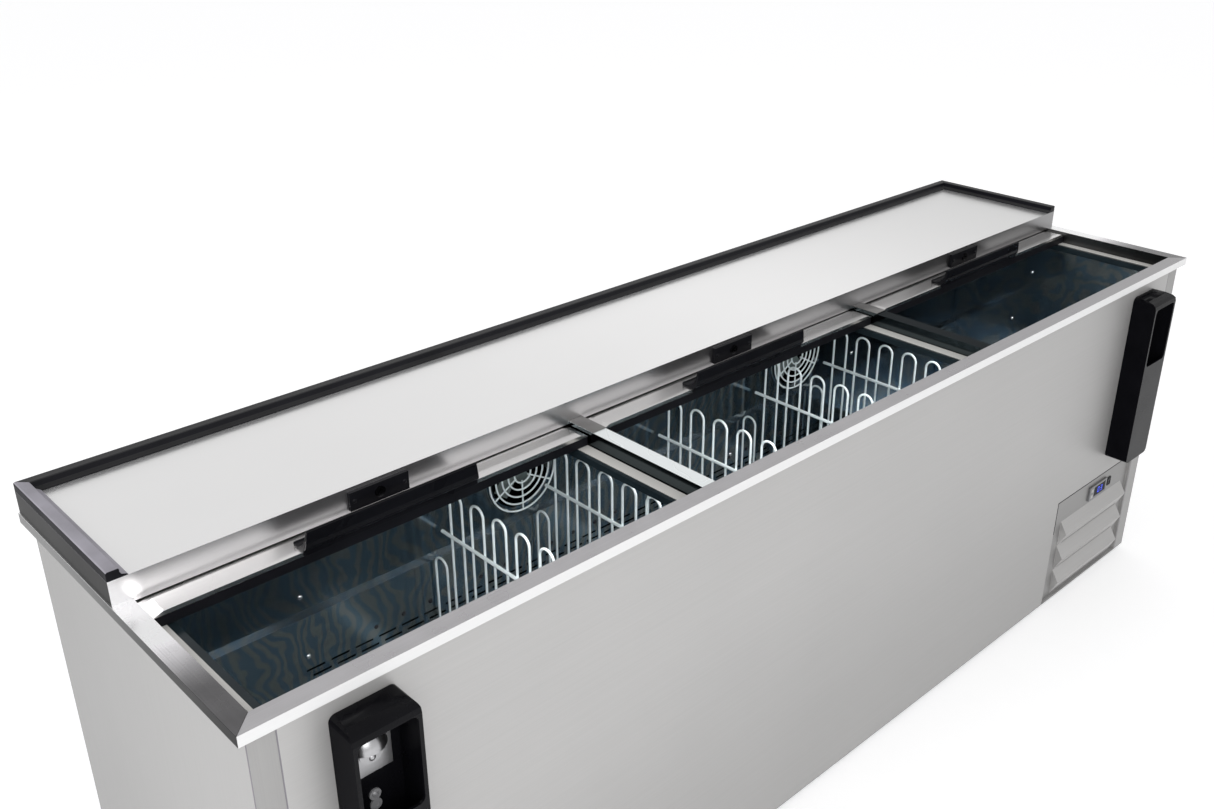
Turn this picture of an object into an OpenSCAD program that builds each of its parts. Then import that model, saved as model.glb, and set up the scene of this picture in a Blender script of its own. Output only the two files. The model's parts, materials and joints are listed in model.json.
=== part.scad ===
/* [Cabinet] */
// Length over the rim
body_len = 2425; // [2300:1:2920]
// Depth over the rim
body_depth = 680; // [640:1:820]
// Height from the floor to the top of the worktop trim
total_h = 850; // [780:1:1020]
// Gap between the floor and the bottom panel
floor_gap = 10; // [8:1:30]
// How far the rim stands out past the body panels
overhang = 13; // [8:1:20]
// Thickness of the outer and inner sheet metal
sheet = 1.2; // [0.8:0.1:2]
// Wall from the body's outer face to the well's inner face
wall = 49; // [42:1:60]
// Height of the channel frame under the insulation
base_h = 40; // [30:1:60]
// Width of the corner posts at the front
post_w = 41; // [25:1:60]

/* [Rim and mullions] */
// Width of the rim's flat top
rim_w = 31; // [28:1:40]
// Height of the rim's outer fascia
rim_drop = 17.3; // [12:0.1:25]
// Width of the two cross rails between the lids
mullion_w = 29; // [24:1:40]
// Depth from the rim's top to the lid tracks
track_drop = 26; // [22:1:34]
// Height of the black track profiles
track_h = 14; // [10:1:20]
// Width of the ledge that each lid runs on
ledge_w = 31; // [29:1:34]
// Width of the glide strips
glide_w = 21; // [15:1:25]
// Width of the two outermost glide strips
end_glide_w = 17.5; // [10:0.5:23]
// Thickness of the glide strips
glide_h = 2; // [1.5:0.1:3]

/* [Worktop] */
// Depth of the raised worktop at the back
deck_depth = 334; // [315:1:380]
// Height of the worktop trim's top above the rim
deck_rise = 52; // [46:1:70]
// Height of the black edge trim
trim_h = 14.5; // [10:0.5:20]
// Width of the trim's flat top
trim_w = 18.5; // [12:0.5:26]
// Width of the trim's sloping inner foot
trim_foot = 10; // [6:0.5:16]

/* [Lids] */
// Depth of each lid
lid_depth = 340; // [325:1:345]
// How far each lid slides
lid_travel = 260; // [200:1:270]
// Gap between the rim and the closed lid's front edge
lid_front_gap = 3; // [2:0.5:6]
// Gap at each side of a lid
lid_side_gap = 2.5; // [1.5:0.1:4]
// Depth of the raised nosing along the lid's front
nosing_d = 38; // [34:1:50]
// Length of the lid handles
handle_len = 307; // [200:1:380]
// How far the handles stand left of the lids' middles
handle_shift = 7; // [0:1:12]
// Height of the handle above the nosing
handle_h = 35; // [25:1:38]

/* [Lock] */
// Length of a lock's face plate
lock_len = 105; // [80:1:140]
// Height of a lock's face plate
lock_h = 31; // [26:1:34]
// Thickness of a lock's face plate
lock_t = 6; // [4:0.5:10]
// Radius of the lock cylinder
lock_r = 9; // [7:0.5:11]
// Radial clearance around turning parts
turn_gap = 0.08; // [0.04:0.01:0.1]

/* [Bottle openers] */
// Width of an opener's housing
opener_w = 100; // [85:1:130]
// Height of an opener's housing
opener_h = 407; // [330:1:450]
// How far the housing stands out from the front panel
opener_d = 54; // [45:1:70]
// Wall thickness of the housing
opener_wall = 5; // [3:0.5:7]
// Height of the open window in the housing
window_h = 140; // [100:1:180]
// Distance from the cabinet's centre to each housing's centre
opener_x = 1043; // [900:1:1060]

/* [Machine bay] */
// Width of the machine bay at the right end
bay_len = 408; // [360:1:460]
// Height of the machine bay
bay_h = 283; // [270:1:340]
// How far the grille lies behind the front panel
grille_set = 7; // [3:0.5:12]
// How far each louvre stands out from the grille
louvre_d = 18; // [10:1:22]
// Height of one louvre
louvre_h = 68; // [50:1:70]

/* [Well fittings] */
// Distance between the loops of a bottle divider
loop_pitch = 64; // [50:1:80]
// Distance between the two legs of a loop
loop_w = 36; // [26:1:44]
// Wire radius of the loops
wire_r = 2.4; // [2:0.1:4]
// Radius of the divider's long bar
bar_r = 3.4; // [3:0.1:5]
// Depth of the loops' tops below the rim
loop_top = 158; // [140:1:200]
// Depth of the long bar below the rim
bar_drop = 254; // [230:1:300]
// Radius of the evaporator fan guards
guard_r = 80; // [70:1:90]
// Depth of the evaporator fans' centres below the rim
fan_drop = 208; // [180:1:240]

/* [Hidden] */
$fn = 48;

// Heights are measured from the rim's top, and depths from the rim's front edge.
eps = 0.5;
fit = 0.3;
seam = 1.8;
half = body_len / 2;
inner_half = half - rim_w;
lid_bay = (2 * inner_half - 2 * mullion_w) / 3;
function bay_left(i) = -inner_half + i * (lid_bay + mullion_w);
function bay_mid(i) = bay_left(i) + lid_bay / 2;
function rail_x(i) = bay_left(i) - mullion_w / 2;
rim_z = total_h - deck_rise;
opener_reach = opener_d - overhang;
mid_y = (body_depth - opener_reach) / 2;
body_x = half - overhang;
body_f = overhang;
body_r = body_depth - overhang;
panel_z = floor_gap - rim_z;
well_x = body_x - wall;
well_f = body_f + wall;
well_r = body_r - wall;
track_top = -track_drop;
rail_foot = track_top - glide_h;
track_bot = track_top - track_h;
floor_z = panel_z + base_h + wall;
liner_t = 1;
rim_lap = 6;
tray_t = 2;
tray_z = panel_z + sheet;
unit_z = tray_z + tray_t;
flange = 14;
comp_x = body_x - bay_len;
comp_top = panel_z + bay_h;
step_x = comp_x - wall;
step_z = comp_top + wall;

// Lids
lid_closed_y = rim_w + lid_front_gap;
lid_y = lid_closed_y + lid_travel;
nosing_z = -2;
lid_z = -6;
lip_z = -9;
lid_edge_z = -8;
lip_gap = 1.5;
bevel_w = 16;
tab_d = 8;
tab_half = 20;

// Worktop
deck_y = body_depth - deck_depth;
deck_x = half - 2.5;
deck_z = deck_rise - trim_h;
lock_z = lock_h / 2;
cam_t = 3;
cam_gap = 4;
cam_y = lid_closed_y + lid_depth + cam_gap;
cam_reach = lock_z + 4.5;
cam_w = 10;
lock_pocket = cam_reach + 6;

// Evaporator cover
cover_y = 562;
crease_z = -296;
lower_set = 36;
lower_y = cover_y + lower_set;
lower_z = crease_z - 44;
fan_x = [-354, 476];
fan_y = cover_y + 12;

// Bottle openers
opener_top = -48;
opener_back = 3;
hook_z = -123;
hood_r = 30;
hood_t = 2.5;
hood_set = 13;
eye_z = -199;

// Bottle dividers
divider_x = [-545, -295, 20, 332, 581];
loop_front = 2;
loops = floor((cover_y - loop_w / 2 - wire_r - 2) / loop_pitch) - loop_front + 1;
rack_h = 10;

// Machine bay front
grille_y = body_f + grille_set;
grille_t = 1.5;
coil_y = grille_y + 53;
shroud_y = coil_y + 44;
grille_x0 = comp_x + 5;
grille_x1 = body_x - post_w - 0.5;
grille_top = comp_top - 4;
control_z = comp_top - 44;
therm_x = grille_x0 + 201.5;
therm_w = 84;
therm_h = 37;
switch_x = grille_x0 + 262.5;
switch_w = 15;
switch_h = 22;
rocker_y = grille_y + 2;
pin_r = 1.2;

module cabinet() translate([0, -mid_y, rim_z]) children();

module slab(x0, x1, y0, y1, z0, z1)
    translate([x0, y0, z0]) cube([x1 - x0, y1 - y0, z1 - z0]);

// An outline in depth and height, carried from x0 to x1
module run_x(x0, x1) translate([x0, 0, 0]) rotate([90, 0, 90]) linear_extrude(x1 - x0) children();

// An outline in width and height, carried from y0 to y1
module run_y(y0, y1) translate([0, y1, 0]) rotate([90, 0, 0]) linear_extrude(y1 - y0) children();

module rod_x(x0, x1, y, z, r) translate([x0, y, z]) rotate([0, 90, 0]) cylinder(h = x1 - x0, r = r);
module rod_y(y0, y1, x, z, r) translate([x, y0, z]) rotate([-90, 0, 0]) cylinder(h = y1 - y0, r = r);
module rod_z(z0, z1, x, y, r) translate([x, y, z0]) cylinder(h = z1 - z0, r = r);

// ---------- Structure ----------

module base_frame() color("silver") cabinet() {
    rail = 40;
    z0 = panel_z + sheet;
    z1 = panel_z + base_h;
    difference() {
        slab(-body_x + 2 * sheet, comp_x - sheet, body_f + sheet, body_r - sheet, z0, z1);
        slab(-body_x + sheet + rail, comp_x - sheet - rail, body_f + sheet + rail,
            body_r - sheet - rail, z0 - eps, z1 + eps);
    }
    for (x = [-body_x / 3, body_x / 5])
        slab(x, x + rail, body_f + sheet + rail, body_r - sheet - rail, z0, z1);
}

module levelling_glides() color("dimgray") translate([0, -mid_y, 0])
    for (x = [-body_x + 60, -body_x / 3, body_x / 3, body_x - 60], y = [body_f + 60, body_r - 60]) {
        translate([x, y, 0]) cylinder(h = 4, r1 = 20, r2 = 24);
        translate([x, y, 4]) cylinder(h = floor_gap - 4, r = 24);
    }

module bottom_panel() color("silver") cabinet()
    slab(-body_x, body_x, body_f, body_r, panel_z, panel_z + sheet);

// The front sheet, cut away over the machine bay, with a return along the cut
module front_panel() color("gainsboro") cabinet() {
    x0 = -body_x + post_w;
    x1 = body_x - post_w;
    run_y(body_f, body_f + sheet) polygon([[x0, panel_z + sheet], [comp_x, panel_z + sheet],
        [comp_x, comp_top], [x1, comp_top], [x1, -rim_drop], [x0, -rim_drop]]);
    slab(comp_x - sheet, comp_x, body_f + sheet, grille_y + grille_t, panel_z + sheet, comp_top);
    slab(comp_x - sheet, comp_x + flange, grille_y + grille_t, grille_y + grille_t + sheet,
        panel_z + sheet, comp_top);
}

module corner_posts() color("lightgray") cabinet()
    for (side = [0, 1]) mirror([side, 0, 0]) {
        slab(-body_x + sheet, -body_x + post_w - seam, body_f, body_f + sheet,
            panel_z + sheet, -rim_drop);
        slab(-body_x + sheet, -body_x + 2 * sheet, body_f + sheet, body_f + 20,
            panel_z + sheet, track_bot);
    }

module side_sheet() slab(-body_x, -body_x + sheet, body_f, body_r - sheet, panel_z + sheet, -rim_drop);

module side_panel_left() color("silver") cabinet() side_sheet();
module side_panel_right() color("silver") cabinet() mirror([1, 0, 0]) side_sheet();

// The back sheet has air slots behind the machine bay
module back_panel() color("darkgray") cabinet() {
    slots = 12;
    pitch = 18;
    difference() {
        slab(-body_x, body_x, body_r - sheet, body_r, panel_z + sheet, -rim_drop);
        for (i = [0:slots - 1])
            slab(comp_x + 50, body_x - 50, body_r - sheet - eps, body_r + eps,
                panel_z + 45 + i * pitch, panel_z + 51 + i * pitch);
        rod_y(body_r - sheet - eps, body_r + eps, comp_x + 25, panel_z + 60, 11);
    }
    // Cord inlet bush
    difference() {
        rod_y(body_r - 6, body_r + 6, comp_x + 25, panel_z + 60, 11);
        rod_y(body_r - 7, body_r + 7, comp_x + 25, panel_z + 60, 5);
    }
}

// The space inside the liner, with its raised floor over the machine bay
module well_space(grow) {
    slab(-well_x - grow, step_x + grow, well_f - grow, well_r + grow, floor_z - grow, track_bot + eps);
    slab(step_x - eps, well_x + grow, well_f - grow, well_r + grow, step_z - grow, track_bot + eps);
}

module foam_core() color("khaki") cabinet() {
    skin = sheet + fit;
    difference() {
        union() {
            slab(-body_x + skin, comp_x - skin, body_f + skin, body_r - skin,
                panel_z + base_h, track_bot);
            slab(comp_x - skin - eps, body_x - skin, body_f + skin, body_r - skin,
                comp_top, track_bot);
        }
        well_space(liner_t);
        for (side = [-1, 1])
            slab(min(side * (body_x + eps), side * (body_x - post_w)),
                max(side * (body_x + eps), side * (body_x - post_w)),
                body_f, body_f + 21, panel_z, 0);
        slab(comp_x - 20, comp_x + eps, body_f, grille_y + 4, panel_z, comp_top + eps);
    }
    difference() {
        slab(-deck_x + skin, deck_x - skin, deck_y + skin, body_depth - skin - 1,
            sheet + fit, deck_z - skin);
        for (i = [0:2])
            slab(bay_mid(i) - lock_pocket, bay_mid(i) + lock_pocket, deck_y,
                cam_y + cam_t + 5, 0, deck_z);
    }
}

module liner_side(y0) run_y(y0, y0 + liner_t)
    polygon([[-well_x - liner_t, floor_z - liner_t], [step_x + liner_t, floor_z - liner_t],
        [step_x + liner_t, step_z - liner_t], [well_x + liner_t, step_z - liner_t],
        [well_x + liner_t, track_bot], [-well_x - liner_t, track_bot]]);

module liner_front() color("lightsteelblue") cabinet() liner_side(well_f - liner_t);
module liner_back() color("lightsteelblue") cabinet() liner_side(well_r);
module liner_left() color("lightsteelblue") cabinet()
    slab(-well_x - liner_t, -well_x, well_f, well_r, floor_z - liner_t, track_bot);
module liner_right() color("lightsteelblue") cabinet()
    slab(well_x, well_x + liner_t, well_f, well_r, step_z - liner_t, track_bot);
module liner_floor() color("lightsteelblue") cabinet()
    slab(-well_x, step_x + liner_t, well_f, well_r, floor_z - liner_t, floor_z);
module liner_step() color("lightsteelblue") cabinet() {
    slab(step_x, step_x + liner_t, well_f, well_r, floor_z, step_z - liner_t);
    slab(step_x, well_x, well_f, well_r, step_z - liner_t, step_z);
}

// ---------- Rim, rails and tracks ----------

// Section of the rim: fascia, flat top, inner wall and a return under the overhang
module rim_section() polygon([[0, -rim_drop], [overhang + rim_lap, -rim_drop],
    [overhang + rim_lap, -rim_drop + sheet], [sheet, -rim_drop + sheet], [sheet, -sheet],
    [rim_w - sheet, -sheet], [rim_w - sheet, rail_foot], [rim_w, rail_foot], [rim_w, 0], [0, 0]]);

module rim_bar(length) difference() {
    run_x(-length / 2, length / 2) rim_section();
    for (side = [0, 1]) mirror([side, 0, 0])
        translate([length / 2, 0, -rim_z]) rotate([0, 0, 45]) translate([0, -rim_w, 0])
            cube([2 * rim_w, 4 * rim_w, total_h]);
}

module rim_front() color("silver") cabinet() rim_bar(body_len);
module rim_back() color("silver") cabinet()
    translate([0, body_depth, 0]) rotate([0, 0, 180]) rim_bar(body_len);
module rim_sides() color("silver") cabinet()
    for (side = [0, 1]) mirror([side, 0, 0])
        translate([-half, body_depth / 2, 0]) rotate([0, 0, -90]) rim_bar(body_depth);

// Cross rails: a folded cap over each divider between two lids
module mullions() color("white") cabinet()
    for (i = [1, 2]) run_y(rim_w, body_depth - rim_w) translate([rail_x(i), 0])
        polygon([[-mullion_w / 2, rail_foot], [-mullion_w / 2 + sheet, rail_foot],
            [-mullion_w / 2 + sheet, -sheet], [mullion_w / 2 - sheet, -sheet],
            [mullion_w / 2 - sheet, rail_foot], [mullion_w / 2, rail_foot],
            [mullion_w / 2, 0], [-mullion_w / 2, 0]]);

module track_profiles() color("black") cabinet() {
    skin = sheet + fit;
    beam = mullion_w / 2 + ledge_w;
    slab(-body_x + skin, body_x - skin, body_f + skin, well_f, track_bot, rail_foot);
    slab(-body_x + skin, body_x - skin, well_r, body_r - skin, track_bot, rail_foot);
    for (side = [0, 1]) mirror([side, 0, 0])
        slab(-body_x + skin, -inner_half + ledge_w, well_f, well_r, track_bot, rail_foot);
    for (i = [1, 2])
        slab(rail_x(i) - beam, rail_x(i) + beam, well_f, well_r, track_bot, rail_foot);
}

// A pale strip on each side of every lid bay
module glide_strips() color("wheat") cabinet() {
    inset = 2;
    for (i = [0:2], side = [0, 1]) {
        w = i == 2 * side ? end_glide_w : glide_w;
        x0 = side == 0 ? bay_left(i) + inset : bay_left(i) + lid_bay - inset - w;
        slab(x0, x0 + w, rim_w + fit, body_depth - rim_w - fit, rail_foot, track_top);
    }
}

// ---------- Worktop ----------

// The fascia's lower edge is folded down close to each lid
module rear_deck() color("lightgray") cabinet() {
    difference() {
        slab(-deck_x, deck_x, deck_y, body_depth - 1, 0, deck_z);
        slab(-deck_x + sheet, deck_x - sheet, deck_y + sheet, body_depth - 1 - sheet, -eps, deck_z - sheet);
        for (i = [0:2]) rod_y(deck_y - eps, deck_y + 3 * sheet, bay_mid(i), lock_z, lock_r + 1.5);
    }
    for (i = [0:2])
        slab(bay_left(i) + fit, bay_left(i) + lid_bay - fit, deck_y, deck_y + sheet, lid_z + lip_gap, eps);
}

module deck_underside() color("darkgray") cabinet() difference() {
    slab(-deck_x + sheet, deck_x - sheet, deck_y + sheet, body_depth - 1 - sheet, 0, sheet);
    for (i = [0:2])
        slab(bay_mid(i) - cam_reach, bay_mid(i) + cam_reach, cam_y - 3, cam_y + cam_t + 3, -eps, 2 * sheet);
}

module trim_section() polygon([[0, 0], [trim_w + trim_foot, 0], [trim_w + trim_foot, 2],
    [trim_w + 2, 5], [trim_w, 8], [trim_w, trim_h - 1.5], [trim_w - 1.5, trim_h], [2, trim_h],
    [0, trim_h - 2]]);

module trim_cut(length) translate([length / 2, 0, -eps]) rotate([0, 0, 45])
    translate([0, -100, 0]) cube([100, 200, trim_h + 2 * eps]);

module deck_trim() color("black") cabinet() translate([0, 0, deck_z]) {
    back = body_depth - 1;
    side_len = back - deck_y;
    translate([0, back, 0]) rotate([0, 0, 180]) difference() {
        run_x(-deck_x, deck_x) trim_section();
        for (side = [0, 1]) mirror([side, 0, 0]) trim_cut(2 * deck_x);
    }
    for (side = [0, 1]) mirror([side, 0, 0])
        translate([-deck_x, deck_y + side_len / 2, 0]) rotate([0, 0, -90]) difference() {
            run_x(-side_len / 2, side_len / 2) trim_section();
            mirror([1, 0, 0]) trim_cut(side_len);
        }
}

// Face plates with a black screw head at each end
module lock_plates() color("black") cabinet()
    for (i = [0:2]) {
        difference() {
            slab(bay_mid(i) - lock_len / 2, bay_mid(i) + lock_len / 2, deck_y - lock_t, deck_y, 0, lock_h);
            rod_y(deck_y - lock_t - eps, deck_y + eps, bay_mid(i), lock_z, lock_r + turn_gap);
        }
        for (dx = [-1, 1])
            translate([bay_mid(i) + dx * (lock_len / 2 - 8), deck_y - lock_t + 0.2, lock_z])
                rotate([90, 0, 0]) dome(4, 2.2);
    }

// Barrel with a keyway, and a cam behind the worktop's front
module lock_cylinder(i) color("silver") cabinet() {
    difference() {
        rod_y(deck_y - lock_t - 2, cam_y, bay_mid(i), lock_z, lock_r);
        slab(bay_mid(i) - 0.7, bay_mid(i) + 0.7, deck_y - lock_t - 3, deck_y + 8, lock_z - 4, lock_z + 4);
    }
    slab(bay_mid(i) - 6, bay_mid(i) + cam_reach, cam_y - eps, cam_y + cam_t, lock_z - cam_w / 2,
        lock_z + cam_w / 2);
}
module lock_cylinder_1() lock_cylinder(0);
module lock_cylinder_2() lock_cylinder(1);
module lock_cylinder_3() lock_cylinder(2);

// ---------- Lids ----------

// Flat-topped section with sloping sides, from the lip up to the given height
module lid_section(i, top) {
    x0 = bay_left(i) + lid_side_gap;
    x1 = bay_left(i) + lid_bay - lid_side_gap;
    polygon([[x0, lip_z], [x0, lid_edge_z], [x0 + bevel_w, top], [x1 - bevel_w, top],
        [x1, lid_edge_z], [x1, lip_z]]);
}

module lid_top(i) color("silver") cabinet() {
    run_y(lid_y, lid_y + nosing_d) lid_section(i, nosing_z);
    run_y(lid_y + nosing_d - eps, lid_y + lid_depth) lid_section(i, lid_z);
    // Tab that the lock's cam stands behind
    slab(bay_mid(i) - tab_half, bay_mid(i) + tab_half, lid_y + lid_depth - tab_d,
        lid_y + lid_depth, lip_z, nosing_z + 0.5);
}
module lid_top_1() lid_top(0);
module lid_top_2() lid_top(1);
module lid_top_3() lid_top(2);

module lid_frame(i) color("black") cabinet() {
    x0 = bay_left(i) + lid_side_gap;
    x1 = bay_left(i) + lid_bay - lid_side_gap;
    edge = 34;
    drop = 5;
    difference() {
        slab(x0 + 0.5, x1 - 0.5, lid_y + 1, lid_y + lid_depth - 1, track_top + fit, lip_z);
        slab(x0 + edge, x1 - edge, lid_y + edge, lid_y + lid_depth - edge,
            track_top, track_top + drop);
    }
}
module lid_frame_1() lid_frame(0);
module lid_frame_2() lid_frame(1);
module lid_frame_3() lid_frame(2);

// Extruded grip: ribbed front, a blade that rises from it, and a foot that lies on the nosing
module grip_section() {
    top = nosing_z + handle_h;
    f = lid_y - fit;
    polygon([[f, lip_z + 0.5], [f, nosing_z], [f + 26, nosing_z], [f + 27.5, nosing_z + 1.5],
        [f + 27, nosing_z + 5], [f + 24, nosing_z + 2.5], [f + 14, nosing_z + 3], [f + 6, nosing_z + 7],
        [f, nosing_z + 13], [f - 3.5, nosing_z + 20], [f - 5, top - 1], [f - 6.5, top],
        [f - 9, top - 1.2], [f - 9, nosing_z + 15.5], [f - 8.2, nosing_z + 14.5], [f - 9, nosing_z + 13],
        [f - 8.2, nosing_z + 11.6], [f - 9, nosing_z + 10], [f - 8, nosing_z + 8.6], [f - 8.4, nosing_z + 7],
        [f - 6.8, nosing_z + 5.8], [f - 5.6, nosing_z + 3.6], [f - 2, nosing_z + 3], [f - 2, lip_z + 0.5]]);
}

module lid_handle(i) color("black") cabinet()
    translate([bay_mid(i) - handle_shift, 0, 0]) difference() {
        run_x(-handle_len / 2, handle_len / 2) grip_section();
        for (side = [0, 1]) translate([0, lid_y, nosing_z]) mirror([side, 0, 0])
            translate([handle_len / 2, 0, 0]) rotate([0, -8, 0]) translate([0, -30, 0]) cube([30, 90, 60]);
    }
module lid_handle_1() lid_handle(0);
module lid_handle_2() lid_handle(1);
module lid_handle_3() lid_handle(2);

// ---------- Well fittings ----------

module evaporator_cover() color("steelblue") cabinet() {
    x0 = -well_x + 2;
    x1 = well_x - 2;
    slots = 30;
    slot_len = 38;
    slot_pitch = 51;
    foot = floor_z;
    difference() {
        run_x(x0, x1) polygon([[cover_y, track_bot - 3], [well_r, track_bot - 3],
            [well_r, track_bot - 3 - sheet], [cover_y + sheet, track_bot - 3 - sheet],
            [cover_y + sheet, crease_z], [lower_y + sheet, lower_z], [lower_y + sheet, foot],
            [lower_y, foot], [lower_y, lower_z], [cover_y, crease_z]]);
        slab(step_x - 2, well_x, cover_y - 1, well_r, foot - 1, step_z);
        for (x = fan_x) rod_y(cover_y - 1, cover_y + 3, x, -fan_drop, guard_r - 8);
        for (i = [0:slots - 1], row = [0, 1])
            translate([-well_x + 320 + i * slot_pitch + row * 12, lower_y, lower_z - 111 - row * 15])
                slab(0, slot_len, -1, 3, -2, 2);
    }
}

module evaporator_coil() color("silver") cabinet() {
    x0 = fan_x[0] + guard_r + 25;
    x1 = fan_x[1] - guard_r - 25;
    fins = 20;
    y0 = cover_y + 10;
    y1 = well_r - 6;
    for (i = [0:fins])
        slab(x0 + i * (x1 - x0 - 3) / fins, x0 + i * (x1 - x0 - 3) / fins + 3,
            y0, i % fins == 0 ? well_r : y1, -fan_drop - 50, -fan_drop + 60);
    for (z = [-fan_drop - 30, -fan_drop + 5, -fan_drop + 40])
        rod_x(x0 - 12, x1 + 12, (y0 + y1) / 2, z, 5);
}

module guard_ring(r, t) rotate([90, 0, 0]) rotate_extrude() translate([r, 0]) circle(r = t, $fn = 24);

module fan_guards() color("honeydew") cabinet()
    for (x = fan_x) translate([x, cover_y - 5, -fan_drop]) {
        for (k = [0:4]) guard_ring(guard_r - k * 15, 1.8);
        for (a = [0:60:300]) rotate([0, a, 0]) rod_z(17, guard_r, 0, 2.2, 1.6);
        for (a = [0:90:270]) rotate([0, a + 30, 0]) rod_y(0, 5, guard_r, 0, 2.5);
    }

module fan_motors() color("dimgray") cabinet()
    for (x = fan_x) {
        rod_y(fan_y + 22, fan_y + 40, x, -fan_drop, 27);
        rod_y(fan_y + 2, fan_y + 23, x, -fan_drop, 3);
        slab(x - guard_r, x + guard_r, fan_y + 40 - eps, well_r, -fan_drop - 10, -fan_drop + 10);
    }

module fan_rotor(x, y, z, r, hub_r, depth, blades) translate([x, y, z]) {
    difference() {
        union() {
            rod_y(0, depth, 0, 0, hub_r);
            for (a = [0:360 / blades:359]) rotate([0, a, 0])
                translate([0, depth / 2, 0]) rotate([0, 0, 28])
                    translate([-hub_r * 0.8, -0.8, hub_r * 0.8]) cube([hub_r * 1.6, 1.6, r - hub_r * 0.8]);
        }
        rod_y(-eps, depth + eps, 0, 0, 3 + turn_gap);
    }
}
module evaporator_fan_1() color("darkslategray") cabinet()
    fan_rotor(fan_x[0], fan_y + 1, -fan_drop, guard_r - 20, 17, 18, 5);
module evaporator_fan_2() color("darkslategray") cabinet()
    fan_rotor(fan_x[1], fan_y + 1, -fan_drop, guard_r - 20, 17, 18, 5);

// One loop: two legs and a half ring on top
module wire_loop(y, top) {
    foot = floor_z + rack_h;
    centre = top - loop_w / 2 - wire_r;
    for (side = [-1, 1]) rod_z(foot, centre, 0, y + side * loop_w / 2, wire_r);
    translate([0, y, centre]) rotate([90, 0, 90]) rotate_extrude(angle = 180)
        translate([loop_w / 2, 0]) circle(r = wire_r, $fn = 24);
}

// A row of loops with a long bar half way up and a thin one at the foot
module divider(x) translate([x, 0, 0]) {
    side = -(wire_r + bar_r) + 0.8;
    last = (loop_front + loops) * loop_pitch;
    for (k = [0:loops - 1]) wire_loop((loop_front + k) * loop_pitch, -loop_top);
    wire_loop(min(last, lower_y - loop_w / 2 - wire_r - 6), -loop_top - 165);
    rod_y(well_f + 4, cover_y - 9, side, -bar_drop, bar_r);
    rod_y(well_f + 4, lower_y - 4, side + 1, floor_z + rack_h + 40, bar_r - 1);
}

module dividers_left() color("honeydew") cabinet() for (i = [0, 1]) divider(divider_x[i]);
module dividers_centre() color("honeydew") cabinet() for (i = [2, 3, 4]) divider(divider_x[i]);

module floor_racks() color("honeydew") cabinet() {
    racks = 3;
    gap = 6;
    span = (step_x + well_x - gap) / racks;
    slots = 14;
    y0 = well_f + 5;
    y1 = lower_y - 3;
    pitch = (y1 - y0) / slots;
    for (k = [0:racks - 1]) {
        x0 = -well_x + gap + k * span;
        difference() {
            slab(x0, x0 + span - gap, y0, y1, floor_z, floor_z + rack_h);
            for (s = [0:slots - 1])
                slab(x0 + 15, x0 + span - gap - 15, y0 + s * pitch + 8, y0 + (s + 1) * pitch,
                    floor_z - eps, floor_z + rack_h + eps);
        }
    }
}

// ---------- Front: grille and controls ----------

// A louvre is a hollow ridge with tapered ends and an air slit along its foot
module louvre(x0, x1, top) {
    crest = 0.42;
    taper = 10;
    module ridge(inset) difference() {
        run_x(x0 + inset, x1 - inset) polygon([[grille_y + inset, top - inset],
            [grille_y - louvre_d + 1.4 * inset, top - louvre_h * crest],
            [grille_y + inset, top - louvre_h + inset]]);
        for (side = [0, 1]) translate([(x0 + x1) / 2, grille_y, top]) mirror([side, 0, 0])
            translate([(x1 - x0) / 2 - inset, 0, -louvre_h]) rotate([0, 0, atan(taper / louvre_d)])
                translate([0, -3 * louvre_d, -10]) cube([3 * taper, 5 * louvre_d, louvre_h + 20]);
    }
    difference() {
        ridge(0);
        ridge(1.5);
        slab(x0 + 12, x1 - 12, grille_y - louvre_d, grille_y + 1, top - louvre_h + 2, top - louvre_h + 12);
    }
}

module front_grille() color("gray") cabinet() {
    louvres = 3;
    first = grille_top - 66;
    lx0 = grille_x0 + 40;
    lx1 = grille_x1 - 28.5;
    foot = panel_z + sheet + 1;
    difference() {
        slab(grille_x0, grille_x1, grille_y, grille_y + grille_t, foot, grille_top);
        slab(therm_x - 36, therm_x + 36, grille_y - 1, grille_y + 2, control_z - 14.5, control_z + 14.5);
        slab(switch_x - 6, switch_x + 6, grille_y - 1, grille_y + 2, control_z - 9.5, control_z + 9.5);
        for (k = [0:louvres - 1]) translate([0, grille_y, first - k * louvre_h])
            slab(lx0 + 6, lx1 - 6, -1, 2, 4 - louvre_h, -4);
    }
    for (k = [0:louvres - 1]) louvre(lx0, lx1, first - k * louvre_h - 1);
    // Returns that close the step up to the corner post and down to the floor sheet
    slab(grille_x1 - grille_t, grille_x1, body_f, grille_y + eps, foot, grille_top);
    slab(grille_x0, grille_x1, body_f, grille_y + eps, foot, foot + grille_t);
}

// Bezel with a display window, pockets for two keys, and the case behind the grille
module thermostat() color("dimgray") cabinet() difference() {
    union() {
        slab(therm_x - therm_w / 2, therm_x + therm_w / 2, grille_y - 5, grille_y,
            control_z - therm_h / 2, control_z + therm_h / 2);
        slab(therm_x - 35.5, therm_x + 35.5, grille_y - eps, coil_y - 5, control_z - 14, control_z + 14);
    }
    slab(therm_x - 20, therm_x + therm_w / 2 - 6, grille_y - 6, grille_y - 4,
        control_z - 13, control_z + 13);
    for (dz = [-8, 8]) slab(therm_x - 36, therm_x - 25, grille_y - 6, grille_y - 1,
        control_z + dz - 5, control_z + dz + 5);
}

module keycap(dz) slab(therm_x - 36 + fit, therm_x - 25 - fit, grille_y - 5.6, grille_y - 2.2,
    control_z + dz - 5 + fit, control_z + dz + 5 - fit);
module set_button() color("gray") cabinet() keycap(8);
module defrost_button() color("gray") cabinet() keycap(-8);

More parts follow.
